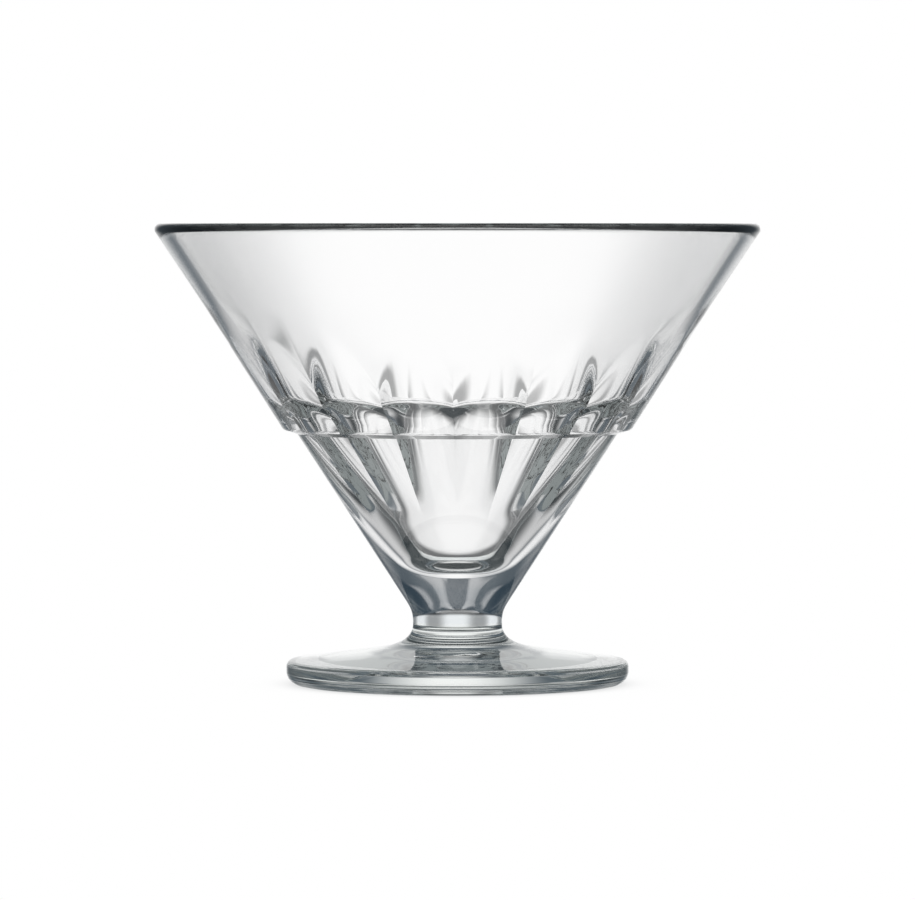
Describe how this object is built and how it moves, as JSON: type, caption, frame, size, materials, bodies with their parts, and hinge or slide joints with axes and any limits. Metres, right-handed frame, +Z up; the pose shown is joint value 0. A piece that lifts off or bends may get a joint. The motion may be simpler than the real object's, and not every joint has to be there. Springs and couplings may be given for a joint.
{
  "type": "footed ice cream glass",
  "caption": "Clear pressed-glass dessert coupe: wide conical bowl with a step outside and flutes and a ledge inside, on a short solid stem and a round foot.",
  "frame": {"origin": "middle of the face that the foot stands on", "axes": "+Z up along the glass's axis, -Y towards the viewer; a ridge between two flutes faces -Y"},
  "size_m": [0.12, 0.12, 0.0914],
  "materials": {
    "bowl_glass": "polished",
    "stem_glass": "polished",
    "foot_glass": "polished"
  },
  "bodies": {
    "root": {"bowl": "bowl_glass", "stem": "stem_glass", "foot": "foot_glass"}
  },
  "joints": []
}
